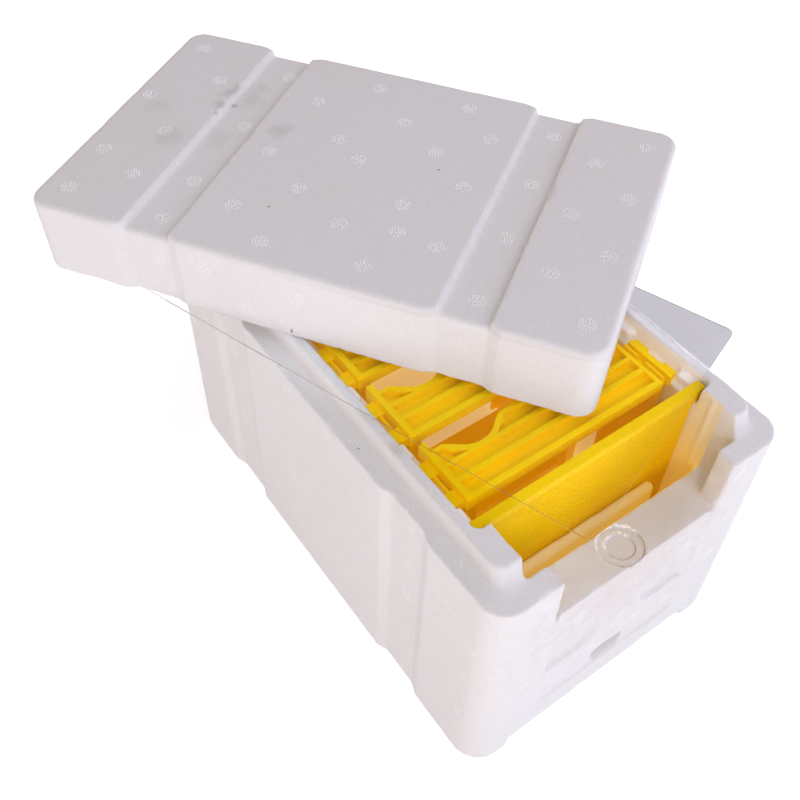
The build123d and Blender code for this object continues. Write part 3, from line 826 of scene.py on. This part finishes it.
# Plain pale floor. It glows faintly, and more so away from the box
floor_net = Net("pale_floor")
floor_patches = floor_net.ramp(floor_net.noise(3, 2, 0.5), 0.3, 0.7)
floor_reach = floor_net.vector("LENGTH", floor_net.coords)
floor_material = floor_net.finish(
    Base_Color=floor_net.mix(floor_patches, (0.90, 0.90, 0.90, 1), (0.88, 0.88, 0.885, 1)),
    Roughness=0.9,
    Specular_IOR_Level=0.1,
    Emission_Color=(0.95, 0.98, 1, 1),
    Emission_Strength=floor_net.ramp(floor_reach, 0.15, 0.6, 0.43, 0.78),
)
floor_mesh = bpy.data.meshes.new("floor")
floor_mesh.from_pydata(
    [(-6, -6, 0), (6, -6, 0), (6, 6, 0), (-6, 6, 0)], [], [(0, 1, 2, 3)]
)
floor = bpy.data.objects.new("floor", floor_mesh)
scene.collection.objects.link(floor)
dress(floor, floor_material)


# Soft studio light: a key from the front left, a cool one from the front, a warm one
# from the left, and broad ones from above and from the right
def area(name, direction, distance, size, power, colour):
    light = bpy.data.lights.new(name, "AREA")
    light.shape = "SQUARE"
    light.size = size
    light.energy = power
    light.color = colour
    lamp = bpy.data.objects.new(name, light)
    middle = (cad_lo + cad_hi) / 2
    way = Vector(direction).normalized()
    lamp.location = middle + way * distance
    lamp.rotation_euler = way.to_track_quat("Z", "Y").to_euler()
    scene.collection.objects.link(lamp)


area("key_light", (-0.407, -0.765, 0.5), 1.6, 0.8, 6.6, (1.0, 0.92, 0.93))
area("front_light", (0.15, -0.95, 0.4), 1.6, 0.8, 2.5, (0.12, 0.49, 1.0))
area("left_light", (-1.0, -0.5, 0.25), 1.6, 1.0, 1.2, (1.0, 0.30, 0.0))
area("top_light", (-0.2, -0.15, 1.0), 1.7, 1.2, 4.4, (0.64, 0.86, 1.0))
area("right_light", (0.9, -0.2, 0.4), 1.7, 1.0, 8.6, (0.93, 0.82, 1.0))

# Surroundings that light the part, and a paler backdrop where they show behind it
world = bpy.data.worlds.new("surroundings")
scene.world = world
world.use_nodes = True
world_nodes = world.node_tree.nodes
world_links = world.node_tree.links
surroundings = world_nodes["Background"]
surroundings.inputs["Color"].default_value = (1.0, 0.89, 0.86, 1)
surroundings.inputs["Strength"].default_value = 0.46
backdrop = world_nodes.new("ShaderNodeBackground")
backdrop.inputs["Color"].default_value = (0.92, 0.92, 0.93, 1)
ray = world_nodes.new("ShaderNodeLightPath")
either = world_nodes.new("ShaderNodeMixShader")
world_links.new(ray.outputs["Is Camera Ray"], either.inputs[0])
world_links.new(surroundings.outputs[0], either.inputs[1])
world_links.new(backdrop.outputs[0], either.inputs[2])
world_links.new(either.outputs[0], world_nodes["World Output"].inputs["Surface"])
scene.view_settings.view_transform = "Standard"
scene.view_settings.look = "None"
